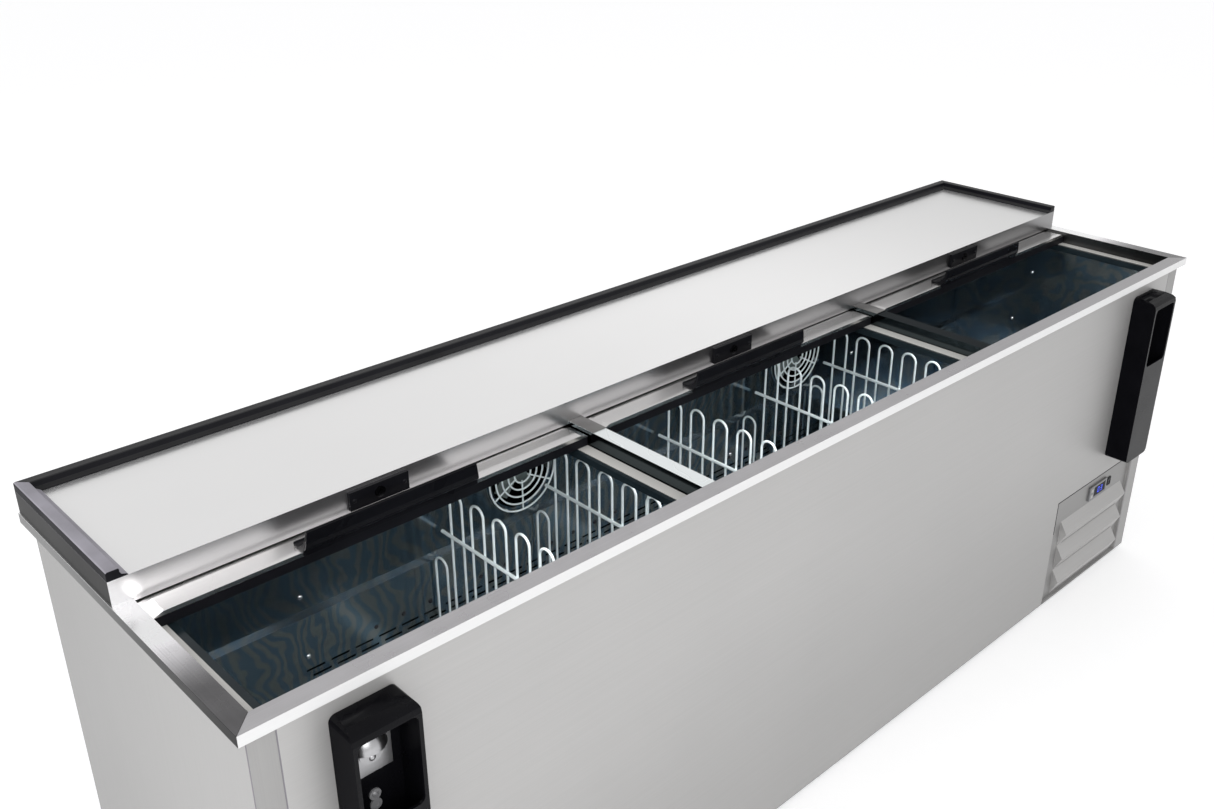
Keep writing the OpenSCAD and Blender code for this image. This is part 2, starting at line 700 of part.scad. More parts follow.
module switch_frame() color("black") cabinet() difference() {
    union() {
        slab(switch_x - switch_w / 2, switch_x + switch_w / 2, grille_y - 2.5, grille_y,
            control_z - switch_h / 2, control_z + switch_h / 2);
        slab(switch_x - 5.8, switch_x + 5.8, grille_y - eps, grille_y + 18,
            control_z - 9.2, control_z + 9.2);
    }
    slab(switch_x - 5, switch_x + 5, grille_y - 3, grille_y + 7, control_z - 8.4, control_z + 8.4);
    rod_x(switch_x - 6, switch_x + 6, rocker_y, control_z, pin_r + turn_gap);
}

module power_switch() color("black") cabinet() {
    w = 4.6;
    run_x(switch_x - w, switch_x + w) translate([rocker_y, control_z])
        polygon([[2, 3], [-2, 7.6], [-5.2, 7.2], [-3.6, 0], [-3.8, -7.2], [-1, -7.6], [2, -3]]);
    rod_x(switch_x - 5.5, switch_x + 5.5, rocker_y, control_z, pin_r);
}

// ---------- Bottle openers ----------

module opener_outline(inset, back) {
    top = opener_top;
    front = -opener_reach;
    run_x(-opener_w / 2 + inset, opener_w / 2 - inset)
        polygon([[back, top - inset], [front + 22, top - 1.5 - inset],
            [front + 9, top - 4.5 - inset], [front + 2 + inset / 2, top - 9.5 - inset],
            [front + inset, top - 17 - inset], [front + inset, top - opener_h + inset],
            [back, top - opener_h + inset]]);
}

module round_cornered(width, height, r) union() {
    translate([-width / 2 + r, 0]) square([width - 2 * r, height]);
    translate([-width / 2, r]) square([width, height - 2 * r]);
    for (dx = [-1, 1], z = [r, height - r]) translate([dx * (width / 2 - r), z]) circle(r = r);
}

// A box that catches the caps, open at its window, with rounded shoulders
module opener_housing(side) color("black") cabinet() translate([side * opener_x, 0, 0]) {
    sill = opener_top - 18 - window_h;
    intersection() {
        difference() {
            opener_outline(0, body_f);
            opener_outline(opener_wall, body_f - opener_back);
            run_y(-opener_reach - 1, -opener_reach + opener_wall + 1) translate([0, sill])
                round_cornered(opener_w - 2 * opener_wall - 2, window_h, 10);
        }
        run_y(-opener_reach - 1, body_f + 1) translate([0, opener_top - opener_h])
            round_cornered(opener_w, opener_h, 11);
    }
}
module opener_housing_left() opener_housing(-1);
module opener_housing_right() opener_housing(1);

// Steel plate, cast hood with its jaw and screw, and the two fixing eyes below
module opener_hooks() color("silver") cabinet()
    for (side = [-1, 1]) translate([side * opener_x, body_f - opener_back, 0]) {
        face = -1.5;
        slab(-23, 31, face, 0, hook_z - 40, hook_z + 26);
        intersection() {
            difference() {
                translate([0, hood_set, hook_z]) sphere(r = hood_r);
                translate([0, hood_set, hook_z]) sphere(r = hood_r - hood_t);
            }
            slab(-hood_r, hood_r, -hood_r, face + 0.2, hook_z, hook_z + hood_r);
        }
        rod_y(face - 4, face + 0.2, 0, hook_z - 4, 18);
        translate([0, face - 4, hook_z - 13]) rotate([90, 0, 0]) dome(5, 2.5);
        for (z = [eye_z, eye_z - 16.5]) difference() {
            rod_y(-2.5, 0, 0, z, 8.6);
            rod_y(-3, -1.2, 0, z, 5);
        }
        translate([0, -1.4, eye_z]) rotate([90, 0, 0]) dome(4, 2);
    }

// ---------- Machine bay ----------

module unit_tray() color("silver") cabinet() {
    x0 = comp_x + 8;
    x1 = body_x - 8;
    slab(x0, x1, body_f + 45, body_r - 30, tray_z, unit_z);
    for (x = [x0, x1 - tray_t]) slab(x, x + tray_t, body_f + 45, body_r - 30, unit_z - eps, unit_z + 20);
}

module compressor() color("black") cabinet() {
    x = body_x - 130;
    y = body_r - 160;
    z0 = unit_z;
    for (dx = [-1, 1], dy = [-1, 1]) rod_z(z0, z0 + 16, x + dx * 62, y + dy * 62, 11);
    slab(x - 78, x + 78, y - 78, y + 78, z0 + 16, z0 + 20);
    translate([x, y, z0 + 19]) rotate_extrude() polygon([[0, 0], [62, 0], [74, 12], [76, 30], [76, 110],
        [72, 132], [58, 150], [34, 160], [0, 163]]);
    rod_z(z0 + 80, z0 + 200, x + 80, y, 5);
    rod_x(x + 60, x + 85, y, z0 + 84, 5);
    slab(x - 40, x + 20, y - 92, y - 68, z0 + 60, z0 + 120);
}

// Finned coil with its tubes, and the shroud and motor of its fan
module condenser() color("dimgray") cabinet() {
    x0 = comp_x + 40;
    x1 = body_x - 60;
    y0 = coil_y;
    y1 = shroud_y;
    z0 = unit_z;
    z1 = comp_top - 40;
    fins = 26;
    for (i = [0:fins])
        slab(x0 + i * (x1 - x0 - 2.5) / fins, x0 + i * (x1 - x0 - 2.5) / fins + 2.5, y0, y1, z0, z1);
    for (z = [z0 + 30:38:z1 - 20], y = [y0 + 12, y0 + 32]) rod_x(x0 - 8, x1 + 8, y, z, 5);
    difference() {
        slab(x0, x1, y1 - eps, y1 + 2, z0, z1);
        rod_y(y1 - 2, y1 + 4, (x0 + x1) / 2, (z0 + z1) / 2, 92);
    }
    for (dz = [-60, 56]) slab(x0 + 40, x1 - 40, y1 + 42, y1 + 45,
        (z0 + z1) / 2 + dz, (z0 + z1) / 2 + dz + 4);
    for (x = [x0 + 36, x1 - 40]) slab(x, x + 4, y1 + 1, y1 + 45,
        (z0 + z1) / 2 - 64, (z0 + z1) / 2 + 64);
    slab((x0 + x1) / 2 - 4, (x0 + x1) / 2 + 4, y1 + 42, y1 + 45,
        (z0 + z1) / 2 - 60, (z0 + z1) / 2 + 60);
    rod_y(y1 + 34, y1 + 80, (x0 + x1) / 2, (z0 + z1) / 2, 34);
    rod_y(y1 + 10, y1 + 35, (x0 + x1) / 2, (z0 + z1) / 2, 3);
}

module condenser_fan() color("darkslategray") cabinet() {
    x0 = comp_x + 40;
    x1 = body_x - 60;
    z0 = unit_z;
    z1 = comp_top - 40;
    fan_rotor((x0 + x1) / 2, shroud_y + 8, (z0 + z1) / 2, 84, 24, 22, 5);
}

// ---------- Visible fixings ----------

module dome(r, h) rotate_extrude() intersection() {
    translate([0, h - (r * r + h * h) / (2 * h)]) circle(r = (r * r + h * h) / (2 * h));
    square([r + 1, h + 1]);
}

module fixings() color("silver") cabinet() {
    for (p = [[-842, cover_y, -268], [20, cover_y, -120], [700, cover_y, -268], [-823, lower_y, -422],
        [-500, lower_y, -422], [300, lower_y, -422]])
        translate(p) rotate([90, 0, 0]) dome(5, 3);
    for (p = [[well_x, 351, -112], [well_x, 388, -248], [well_x, 150, -180]])
        translate(p) rotate([0, -90, 0]) dome(5, 3);
}

base_frame();
levelling_glides();
bottom_panel();
front_panel();
corner_posts();
side_panel_left();
side_panel_right();
back_panel();
foam_core();
liner_front();
liner_back();
liner_left();
liner_right();
liner_floor();
liner_step();
rim_front();
rim_sides();
rim_back();
mullions();
track_profiles();
glide_strips();
rear_deck();
deck_underside();
deck_trim();
lock_plates();
lock_cylinder_1();
lock_cylinder_2();
lock_cylinder_3();
lid_top_1();
lid_top_2();
lid_top_3();
lid_frame_1();
lid_frame_2();
lid_frame_3();
lid_handle_1();
lid_handle_2();
lid_handle_3();
evaporator_cover();
evaporator_coil();
fan_guards();
fan_motors();
evaporator_fan_1();
evaporator_fan_2();
dividers_left();
dividers_centre();
floor_racks();
front_grille();
thermostat();
set_button();
defrost_button();
switch_frame();
power_switch();
opener_housing_left();
opener_housing_right();
opener_hooks();
unit_tray();
compressor();
condenser();
condenser_fan();
fixings();
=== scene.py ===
import json
import math

import bpy
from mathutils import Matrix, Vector


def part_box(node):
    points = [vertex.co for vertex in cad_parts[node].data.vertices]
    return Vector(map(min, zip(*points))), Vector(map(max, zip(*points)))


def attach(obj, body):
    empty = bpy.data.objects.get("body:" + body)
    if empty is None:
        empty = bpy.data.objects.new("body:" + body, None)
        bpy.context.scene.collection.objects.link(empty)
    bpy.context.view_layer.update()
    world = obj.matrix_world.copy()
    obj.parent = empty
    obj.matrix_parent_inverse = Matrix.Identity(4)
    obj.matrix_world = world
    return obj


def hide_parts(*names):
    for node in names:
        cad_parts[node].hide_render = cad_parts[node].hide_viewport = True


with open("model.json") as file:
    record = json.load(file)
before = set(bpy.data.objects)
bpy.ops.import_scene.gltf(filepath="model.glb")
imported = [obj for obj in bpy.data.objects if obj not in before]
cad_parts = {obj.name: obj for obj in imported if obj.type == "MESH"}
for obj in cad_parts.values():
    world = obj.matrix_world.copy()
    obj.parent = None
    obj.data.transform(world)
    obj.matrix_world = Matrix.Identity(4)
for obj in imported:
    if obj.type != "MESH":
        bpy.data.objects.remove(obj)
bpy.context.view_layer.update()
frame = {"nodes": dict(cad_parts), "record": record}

bl_info = {
    "name": "Sliding-lid chest cooler",
    "version": (1, 0, 0),
    "blender": (4, 5, 0),
    "location": "3D View > Sidebar > Chest cooler",
    "description": "Finishes the chest cooler's sheet metal, lids, well fittings and controls",
    "category": "Object",
}

NODES = frame["nodes"]
BODY_OF = {node: body for body, nodes in
           frame["record"]["behaviour"]["bodies"].items() for node in nodes}
LIDS = (1, 2, 3)


# ---------- Sizes and colours that a user would change ----------

class CoolerEdges(bpy.types.PropertyGroup):
    sheet_edge: bpy.props.FloatProperty(
        name="Sheet edge", description="Rounding along folded and cut sheet metal",
        default=0.0005, min=0.0001, max=0.002, unit="LENGTH")
    fold_edge: bpy.props.FloatProperty(
        name="Rim fold", description="Rounding along the folds of the rim and worktop",
        default=0.0012, min=0.0003, max=0.004, unit="LENGTH")
    moulded_edge: bpy.props.FloatProperty(
        name="Moulded edge", description="Rounding along plastic mouldings",
        default=0.0015, min=0.0003, max=0.004, unit="LENGTH")
    housing_edge: bpy.props.FloatProperty(
        name="Opener edge", description="Rounding along the bottle opener housings",
        default=0.0014, min=0.0005, max=0.006, unit="LENGTH")


class CoolerColours(bpy.types.PropertyGroup):
    steel: bpy.props.FloatVectorProperty(
        name="Steel", description="Tint of the satin panels", subtype="COLOR",
        size=3, min=0, max=1, default=(0.44, 0.435, 0.43))
    rim: bpy.props.FloatVectorProperty(
        name="Rim", description="Tint of the rim and the lids", subtype="COLOR",
        size=3, min=0, max=1, default=(0.50, 0.49, 0.50))
    well: bpy.props.FloatVectorProperty(
        name="Well", description="Tint of the polished lining", subtype="COLOR",
        size=3, min=0, max=1, default=(0.21, 0.28, 0.34))
    black: bpy.props.FloatVectorProperty(
        name="Black", description="Colour of the black mouldings", subtype="COLOR",
        size=3, min=0, max=1, default=(0.007, 0.007, 0.009))
    wire: bpy.props.FloatVectorProperty(
        name="Wire", description="Colour of the coated wire", subtype="COLOR",
        size=3, min=0, max=1, default=(0.86, 0.94, 0.95))
    glide: bpy.props.FloatVectorProperty(
        name="Glides", description="Colour of the lids' glide strips", subtype="COLOR",
        size=3, min=0, max=1, default=(0.62, 0.61, 0.58))
    readout: bpy.props.FloatVectorProperty(
        name="Readout", description="Colour of the lit figures", subtype="COLOR",
        size=3, min=0, max=1, default=(0.06, 0.10, 0.75))


class CoolerStudio(bpy.types.PropertyGroup):
    floor_size: bpy.props.FloatProperty(
        name="Floor", description="Side of the square studio floor",
        default=60.0, min=10, max=120, unit="LENGTH")
    key_power: bpy.props.FloatProperty(
        name="Key light", description="Power of the large light at the front left",
        default=90.0, min=0, max=600, unit="POWER")
    well_power: bpy.props.FloatProperty(
        name="Well light", description="Power of the light under each lid's opening",
        default=1.6, min=0, max=20, unit="POWER")
    sky: bpy.props.FloatProperty(
        name="Sky", description="Brightness of the room around the cooler",
        default=1.0, min=0, max=3)


# ---------- Shader groups shared by the finishes ----------

def add_node(tree, kind, **values):
    made = tree.nodes.new(kind)
    for name, value in values.items():
        setattr(made, name, value)
    return made


def new_group(name, inputs, outputs):
    tree = bpy.data.node_groups.new(name, "ShaderNodeTree")
    for label, kind, default in inputs:
        socket = tree.interface.new_socket(label, in_out="INPUT", socket_type=kind)
        socket.default_value = default
    for label, kind in outputs:
        tree.interface.new_socket(label, in_out="OUTPUT", socket_type=kind)
    return tree, add_node(tree, "NodeGroupInput"), add_node(tree, "NodeGroupOutput")


def brushed_grain_group():
    """Long fine scratches: a shade and a height that vary across the brushing."""
    tree, inlet, outlet = new_group(
        "brushed grain",
        [("Stretch", "NodeSocketVector", (4.0, 4.0, 400.0)),
         ("Cloud Scale", "NodeSocketFloat", 3.0)],
        [("Shade", "NodeSocketFloat"), ("Height", "NodeSocketFloat"), ("Cloud", "NodeSocketFloat")])
    link = tree.links.new
    place = add_node(tree, "ShaderNodeTexCoord")
    stretch = add_node(tree, "ShaderNodeVectorMath", operation="MULTIPLY")
    link(place.outputs["Object"], stretch.inputs[0])
    link(inlet.outputs["Stretch"], stretch.inputs[1])
    grain = add_node(tree, "ShaderNodeTexNoise")
    grain.inputs["Scale"].default_value = 1.0
    grain.inputs["Detail"].default_value = 4.0
    grain.inputs["Roughness"].default_value = 0.65
    link(stretch.outputs[0], grain.inputs["Vector"])
    cloud = add_node(tree, "ShaderNodeTexNoise")
    cloud.inputs["Detail"].default_value = 3.0
    link(place.outputs["Object"], cloud.inputs["Vector"])
    link(inlet.outputs["Cloud Scale"], cloud.inputs["Scale"])
    blend = add_node(tree, "ShaderNodeMath", operation="MULTIPLY_ADD")
    blend.inputs[1].default_value = 0.5
    link(cloud.outputs["Fac"], blend.inputs[0])
    half = add_node(tree, "ShaderNodeMath", operation="MULTIPLY")
    half.inputs[1].default_value = 0.5
    link(grain.outputs["Fac"], half.inputs[0])
    link(half.outputs[0], blend.inputs[2])
    link(blend.outputs[0], outlet.inputs["Shade"])
    link(grain.outputs["Fac"], outlet.inputs["Height"])
    link(cloud.outputs["Fac"], outlet.inputs["Cloud"])
    return tree


def rolled_waves_group():
    """Slow ripples of thin polished sheet, warped so that no two look alike."""
    tree, inlet, outlet = new_group(
        "rolled waves",
        [("Scale", "NodeSocketFloat", 5.0), ("Warp", "NodeSocketFloat", 0.25)],
        [("Height", "NodeSocketFloat"), ("Streak", "NodeSocketFloat")])
    link = tree.links.new
    place = add_node(tree, "ShaderNodeTexCoord")
    bend = add_node(tree, "ShaderNodeTexNoise")
    bend.inputs["Scale"].default_value = 2.2
    link(place.outputs["Object"], bend.inputs["Vector"])
    push = add_node(tree, "ShaderNodeVectorMath", operation="SCALE")
    link(bend.outputs["Color"], push.inputs[0])
    link(inlet.outputs["Warp"], push.inputs["Scale"])
    moved = add_node(tree, "ShaderNodeVectorMath", operation="ADD")
    link(place.outputs["Object"], moved.inputs[0])
    link(push.outputs[0], moved.inputs[1])
    ripple = add_node(tree, "ShaderNodeTexNoise")
    ripple.inputs["Detail"].default_value = 1.5
    link(moved.outputs[0], ripple.inputs["Vector"])
    link(inlet.outputs["Scale"], ripple.inputs["Scale"])
    streak = add_node(tree, "ShaderNodeTexWave", bands_direction="X")
    streak.inputs["Scale"].default_value = 14.0
    streak.inputs["Distortion"].default_value = 12.0
    streak.inputs["Detail"].default_value = 2.0
    link(moved.outputs[0], streak.inputs["Vector"])
    link(ripple.outputs["Fac"], outlet.inputs["Height"])
    link(streak.outputs["Fac"], outlet.inputs["Streak"])
    return tree


def moulded_grain_group():
    """Fine pebbling of moulded plastic with a faint bloom."""
    tree, inlet, outlet = new_group(
        "moulded grain", [("Pebble Scale", "NodeSocketFloat", 900.0)],
        [("Height", "NodeSocketFloat"), ("Bloom", "NodeSocketFloat")])
    link = tree.links.new
    place = add_node(tree, "ShaderNodeTexCoord")
    pebble = add_node(tree, "ShaderNodeTexNoise")
    pebble.inputs["Detail"].default_value = 2.0
    link(place.outputs["Object"], pebble.inputs["Vector"])
    link(inlet.outputs["Pebble Scale"], pebble.inputs["Scale"])
    bloom = add_node(tree, "ShaderNodeTexNoise")
    bloom.inputs["Scale"].default_value = 14.0
    bloom.inputs["Detail"].default_value = 4.0
    link(place.outputs["Object"], bloom.inputs["Vector"])
    link(pebble.outputs["Fac"], outlet.inputs["Height"])
    link(bloom.outputs["Fac"], outlet.inputs["Bloom"])
    return tree


def fade_group():
    """Goes from 0 to 1 between two distances along an axis of the object; it steers the painted light and
    shade ramps.
    """
    tree, inlet, outlet = new_group(
        "fade", [("Axis", "NodeSocketVector", (1.0, 0.0, 0.0)), ("Start", "NodeSocketFloat", -1.2),
                 ("End", "NodeSocketFloat", 1.2)], [("Factor", "NodeSocketFloat")])
    link = tree.links.new
    place = add_node(tree, "ShaderNodeTexCoord")
    along = add_node(tree, "ShaderNodeVectorMath", operation="DOT_PRODUCT")
    link(place.outputs["Object"], along.inputs[0])
    link(inlet.outputs["Axis"], along.inputs[1])
    ramp = add_node(tree, "ShaderNodeMapRange", interpolation_type="SMOOTHSTEP")
    link(along.outputs["Value"], ramp.inputs["Value"])
    link(inlet.outputs["Start"], ramp.inputs["From Min"])
    link(inlet.outputs["End"], ramp.inputs["From Max"])
    link(ramp.outputs[0], outlet.inputs["Factor"])
    return tree


# ---------- Finishes ----------

FINISH = {}
# Axes and spans of the painted light and shade ramps: across the side rim's front, upward from the foot, and
# from the front to the back.
ACROSS = {"Axis": (0.0, 1.0, 0.0), "Start": -0.22, "End": 0.0}
UPWARD = {"Axis": (0.0, 0.0, 1.0), "Start": 0.1, "End": 0.6}
BACKWARD = {"Axis": (0.0, 1.0, 0.0), "Start": -0.32, "End": 0.36}


def start_finish(name, metallic, base=(0.5, 0.5, 0.5)):
    material = bpy.data.materials.new(name)
    material.use_nodes = True
    material.diffuse_color = (*base, 1)
    tree = material.node_tree
    shader = tree.nodes["Principled BSDF"]
    shader.inputs["Metallic"].default_value = metallic
    FINISH[name] = material
    return tree, shader


def use_group(tree, group, **values):
    made = add_node(tree, "ShaderNodeGroup", node_tree=bpy.data.node_groups[group])
    for name, value in values.items():
        made.inputs[name.replace("_", " ")].default_value = value
    return made


def tone(tree, source, low, high):
    """A colour that goes from low to high as source goes from 0.3 to 0.7."""
    ramp = add_node(tree, "ShaderNodeMapRange")
    ramp.inputs["From Min"].default_value = 0.3
    ramp.inputs["From Max"].default_value = 0.7
    tree.links.new(source, ramp.inputs["Value"])
    mix = add_node(tree, "ShaderNodeMix", data_type="RGBA")
    mix.inputs["A"].default_value = (*low, 1)
    mix.inputs["B"].default_value = (*high, 1)
    tree.links.new(ramp.outputs[0], mix.inputs["Factor"])
    return mix.outputs["Result"]


def span(tree, source, low, high):
    ramp = add_node(tree, "ShaderNodeMapRange")
    ramp.inputs["From Min"].default_value = 0.3
    ramp.inputs["From Max"].default_value = 0.7
    ramp.inputs["To Min"].default_value = low
    ramp.inputs["To Max"].default_value = high
    tree.links.new(source, ramp.inputs["Value"])
    return ramp.outputs[0]


def add_bump(tree, shader, height, strength, distance):
    bump = add_node(tree, "ShaderNodeBump")
    bump.inputs["Strength"].default_value = strength
    bump.inputs["Distance"].default_value = distance
    tree.links.new(height, bump.inputs["Height"])
    tree.links.new(bump.outputs[0], shader.inputs["Normal"])


def shaded(colour, factor):
    return tuple(min(1.0, c * factor) for c in colour)


def painted_shade_ramp(tree, colour, ends, values):
    """The colour, multiplied by painted light and shade that change from one end of the piece to the other.
    """
    fade = use_group(tree, "fade", **values)
    shade = add_node(tree, "ShaderNodeMapRange")
    shade.inputs["To Min"].default_value, shade.inputs["To Max"].default_value = ends
    tree.links.new(fade.outputs["Factor"], shade.inputs["Value"])
    mix = add_node(tree, "ShaderNodeVectorMath", operation="SCALE")
    tree.links.new(colour, mix.inputs[0])
    tree.links.new(shade.outputs[0], mix.inputs["Scale"])
    return mix.outputs[0]


def brushed_steel(name, colour, stretch, rough, contrast=0.06, cloud=3.0, bump=0.1, metallic=1.0,
                  ends=(1.0, 1.0), along=None, painted_far_shade=1.0, painted_foot_shade=1.0, edge=1.0):
    tree, shader = start_finish(name, metallic, colour)
    shader.inputs["Specular Tint"].default_value = (edge, edge, edge, 1)
    grain = use_group(tree, "brushed grain", Stretch=stretch, Cloud_Scale=cloud)
    colour = tone(tree, grain.outputs["Shade"], shaded(colour, 1 - contrast),
                  shaded(colour, 1 + contrast))
    # Painted light and shade along the piece: a ramp from one end to the other, a darker right half, and a
    # darker foot.
    if ends != (1.0, 1.0):
        colour = painted_shade_ramp(tree, colour, ends, along or {})
    if painted_far_shade != 1.0:
        colour = painted_shade_ramp(tree, colour, (1.0, painted_far_shade), {"Start": 0.0, "End": 1.2})
    if painted_foot_shade != 1.0:
        colour = painted_shade_ramp(tree, colour, (painted_foot_shade, 1.0), UPWARD)
    tree.links.new(colour, shader.inputs["Base Color"])
    tree.links.new(span(tree, grain.outputs["Cloud"], rough - 0.04, rough + 0.05),
                   shader.inputs["Roughness"])
    add_bump(tree, shader, grain.outputs["Height"], bump, 0.0002)


def polished_lining(name, colour, rough, wave=0.35, distance=0.006):
    tree, shader = start_finish(name, 1.0, colour)
    waves = use_group(tree, "rolled waves", Scale=4.5, Warp=0.3)
    warm = (colour[0] * 1.35, colour[1] * 1.05, colour[2] * 0.86)
    tree.links.new(tone(tree, waves.outputs["Streak"], shaded(colour, 0.85), warm),
                   shader.inputs["Base Color"])
    tree.links.new(span(tree, waves.outputs["Height"], rough, rough + 0.08),
                   shader.inputs["Roughness"])
    add_bump(tree, shader, waves.outputs["Height"], wave, distance)


def moulded_plastic(name, colour, rough, lift=1.5, bump=0.25, coat=0.0, gloss=0.5):
    tree, shader = start_finish(name, 0.0, colour)
    shader.inputs["Specular IOR Level"].default_value = gloss
    shader.inputs["Coat Weight"].default_value = coat
    shader.inputs["Coat Roughness"].default_value = 0.2
    grain = use_group(tree, "moulded grain", Pebble_Scale=900.0)
    tree.links.new(tone(tree, grain.outputs["Bloom"], colour, shaded(colour, lift)),
                   shader.inputs["Base Color"])
    tree.links.new(span(tree, grain.outputs["Bloom"], rough - 0.05, rough + 0.07),
                   shader.inputs["Roughness"])
    add_bump(tree, shader, grain.outputs["Height"], bump, 0.0001)


def make_finishes(colours):
    brushed_grain_group()
    rolled_waves_group()
    moulded_grain_group()
    fade_group()
    along_x, along_y, along_z = (2.5, 700.0, 700.0), (700.0, 2.5, 700.0), (700.0, 700.0, 2.5)
    steel, rim = tuple(colours.steel), tuple(colours.rim)
    # Front sheet: painted shade, darker towards the right end and darker towards the bottom.
    brushed_steel("front steel", steel, along_x, 0.46, metallic=0.45, ends=(1.02, 0.91), painted_foot_shade=0.86)
    # Corner posts: a darker tone of the panel steel, and painted shade making the right post darker than the
    # left.
    brushed_steel("post steel", shaded(steel, 0.78), along_z, 0.46, metallic=0.45, ends=(1.0, 0.9))
    # Side panels: painted shade, a darker copy of the panel steel that grows darker towards the back.
    brushed_steel("end steel", shaded(steel, 0.88), along_z, 0.46, metallic=0.45, ends=(1.0, 0.8),
                  along=BACKWARD)
    # Rim: painted light and shade on one steel. The tops darken towards the right, and the side tops darken
    # towards the front; the front fascia is painted light, and the side fascia is near-black at the front and
    # lighter towards the back.
    brushed_steel("rim top along", rim, along_x, 0.30, contrast=0.12, cloud=14.0, ends=(1.08, 0.72))
    brushed_steel("rim top across", rim, along_y, 0.26, contrast=0.16, cloud=26.0,
                  ends=(0.3, 3.2), along=ACROSS)
    brushed_steel("fascia along", (0.72, 0.72, 0.72), along_x, 0.4, contrast=0.03, metallic=0.3)
    brushed_steel("fascia across", (0.02, 0.02, 0.02), along_y, 0.3, ends=(1.0, 16.0), along=BACKWARD,
                  edge=0.62)
    # Worktop: painted light and shade on one steel. The top is painted near-white, lightest in the middle and
    # darker towards the ends, most at the right; the front fascia darkens towards the right; the ends are a
    # near-black shaded copy.
    brushed_steel("worktop end", (0.03, 0.03, 0.03), along_y, 0.3, edge=0.6)
    brushed_steel("worktop steel", (0.97, 0.965, 0.96), along_x, 0.22, contrast=0.03, metallic=0.8,
                  ends=(0.9, 1.1), painted_far_shade=0.68)
    brushed_steel("worktop fascia", (0.95, 0.94, 0.95), along_x, 0.3, contrast=0.03, bump=0.03,
                  ends=(1.0, 0.3))
    # Lids: painted light and shade, lighter at the left end and darker at the right.
    brushed_steel("lid steel", (0.72, 0.71, 0.70), along_x, 0.24, contrast=0.05, ends=(1.15, 0.95))
    # Cross rails: painted reflections on one steel. The left rail's top is painted bright, the right rail's
    # top near-black, and the upright sides painted dark.
    brushed_steel("rail top painted bright", (0.86, 0.9, 0.9), along_y, 0.28, contrast=0.04, metallic=0.5)
    brushed_steel("rail top painted dark", (0.008, 0.013, 0.016), along_y, 0.2, contrast=0.1, edge=0.6)
    brushed_steel("rail side painted dark", (0.07, 0.085, 0.09), along_y, 0.12, contrast=0.1)
    brushed_steel("cap steel", (0.24, 0.235, 0.23), (90.0, 90.0, 90.0), 0.32, contrast=0.1)
    # Grille: lit and shaded copies of one steel, the flat plate painted darker and the sloped louvre faces
    # painted lighter.
    brushed_steel("grille steel", (0.26, 0.257, 0.254), along_x, 0.45, metallic=0.5)
    brushed_steel("louvre steel", (0.38, 0.375, 0.37), along_x, 0.45, metallic=0.5)
    brushed_steel("zinc sheet", (0.42, 0.43, 0.44), (60.0, 60.0, 60.0), 0.45, contrast=0.18, cloud=22.0)
    brushed_steel("fin aluminium", (0.6, 0.61, 0.62), along_z, 0.35)
    brushed_steel("bright plating", (0.72, 0.72, 0.73), (90.0, 90.0, 90.0), 0.12, contrast=0.03)
    brushed_steel("dark plating", (0.10, 0.10, 0.11), (90.0, 90.0, 90.0), 0.2, contrast=0.1)
    brushed_steel("cast hook metal", (0.42, 0.42, 0.43), (160.0, 160.0, 160.0), 0.3, contrast=0.1)
    brushed_steel("eye metal", (0.30, 0.30, 0.31), (160.0, 160.0, 160.0), 0.35, metallic=0.2)
    polished_lining("well lining", tuple(colours.well), 0.10)
    black = tuple(colours.black)
    moulded_plastic("black moulding", black, 0.38, gloss=0.12)
    # Trim tops: painted sheen, the back bar's top a little lighter than the black moulding and the side bar's
    # top a light grey.
    moulded_plastic("trim top", (0.018, 0.018, 0.019), 0.5, gloss=0.24)
    moulded_plastic("trim end top", (0.24, 0.23, 0.26), 0.5, gloss=0.4)
    moulded_plastic("black handle", shaded(black, 0.8), 0.3, gloss=0.1)
    moulded_plastic("soft black rubber", shaded(black, 1.6), 0.6)
    moulded_plastic("track moulding", (0.012, 0.019, 0.023), 0.16, bump=0.05, gloss=0.2)
    moulded_plastic("trim side", black, 0.4, gloss=0.02)
    moulded_plastic("opener side", shaded(black, 0.5), 0.3, gloss=0.01)
    moulded_plastic("sealant", (0.22, 0.21, 0.23), 0.5, lift=1.1, gloss=0.1)
    moulded_plastic("opener black", shaded(black, 0.5), 0.24, lift=1.3, bump=0.05, gloss=0.1)
    moulded_plastic("control grey", (0.13, 0.13, 0.135), 0.4)
    moulded_plastic("key grey", (0.3, 0.3, 0.3), 0.45)
    moulded_plastic("glide nylon", tuple(colours.glide), 0.4, lift=1.06)
    moulded_plastic("coated wire", tuple(colours.wire), 0.3, lift=1.04, bump=0.1, coat=0.3)
    moulded_plastic("foam core", (0.75, 0.62, 0.30), 0.8, lift=1.2, bump=0.6)
    moulded_plastic("compressor paint", (0.02, 0.02, 0.022), 0.25, lift=1.4, bump=0.1, coat=0.5)
    moulded_plastic("fan plastic", (0.12, 0.15, 0.145), 0.4)
    moulded_plastic("display lens", (0.004, 0.005, 0.008), 0.15, bump=0.0, gloss=0.03)
    tree, shader = start_finish("lit figures", 0.0, tuple(colours.readout))
    grain = use_group(tree, "moulded grain", Pebble_Scale=600.0)
    glow = tone(tree, grain.outputs["Bloom"], tuple(colours.readout), shaded(colours.readout, 1.2))
    tree.links.new(glow, shader.inputs["Base Color"])
    tree.links.new(glow, shader.inputs["Emission Color"])
    shader.inputs["Emission Strength"].default_value = 0.7


def dress(obj, *finishes):
    obj.data.materials.clear()
    for finish in finishes:
        obj.data.materials.append(FINISH[finish])


def dress_by_face(obj, pick, *finishes):
    """Gives each face the finish whose number pick returns for it."""
    dress(obj, *finishes)
    for face in obj.data.polygons:
        face.material_index = pick(face)


def upright(face):
    return 1 if abs(face.normal.z) < 0.6 else 0


# ---------- Modelling helpers ----------

